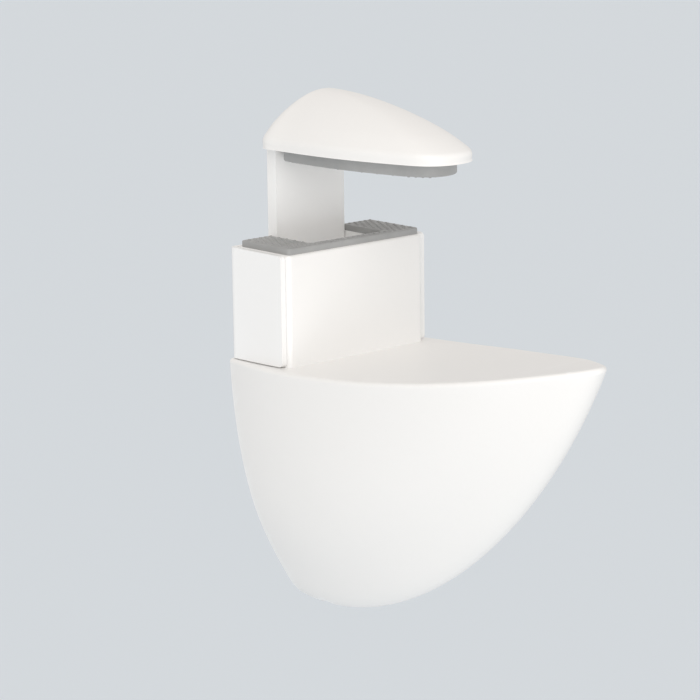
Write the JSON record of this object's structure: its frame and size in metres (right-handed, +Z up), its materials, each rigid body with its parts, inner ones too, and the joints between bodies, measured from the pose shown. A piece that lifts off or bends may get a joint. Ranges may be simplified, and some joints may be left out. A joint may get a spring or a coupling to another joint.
{
  "type": "adjustable shelf clamp bracket",
  "caption": "Adjustable clamp bracket for a shelf board: an egg-shaped hollow body on a wall carrier, and a domed jaw drawn down on the board by a screw from below.",
  "frame": {"origin": "on the wall plane, midway between the two wall holes of the carrier", "axes": "+Z up, +Y into the wall, so the board enters from -Y, and +X to the right as seen from the front"},
  "size_m": [0.059, 0.1121, 0.1441],
  "materials": {
    "white_coat": "satin white powder coat",
    "carrier_coat": "satin white powder coat on folded sheet",
    "pad_rubber": "matt",
    "zinc_steel": "zinc plated"
  },
  "bodies": {
    "base": {"lower_body": "white_coat", "seat_block": "white_coat", "block_screws": "zinc_steel", "wall_carrier": "carrier_coat", "lock_screw": "zinc_steel", "seat_pad": "pad_rubber", "screw_washer": "zinc_steel"},
    "jaw": {"upper_jaw": "white_coat", "jaw_pad": "pad_rubber", "slide_nut": "zinc_steel"},
    "screw": {"clamp_screw": "zinc_steel", "retaining_ring": "zinc_steel"}
  },
  "joints": [
    {"name": "jaw_slide", "type": "slide", "parent": "base", "child": "jaw", "axis": [0, 0, 1], "range_m": [-0.012, 0.01]},
    {"name": "screw_turn", "type": "hinge", "parent": "base", "child": "screw", "pos_m": [0, -0.011, 0], "axis": [0, 0, 1], "range_deg": [-3600, 4320]}
  ],
  "couplings": [
    {"joint": "screw_turn", "follows": "jaw_slide", "rad_per_m": -6283.2}
  ]
}
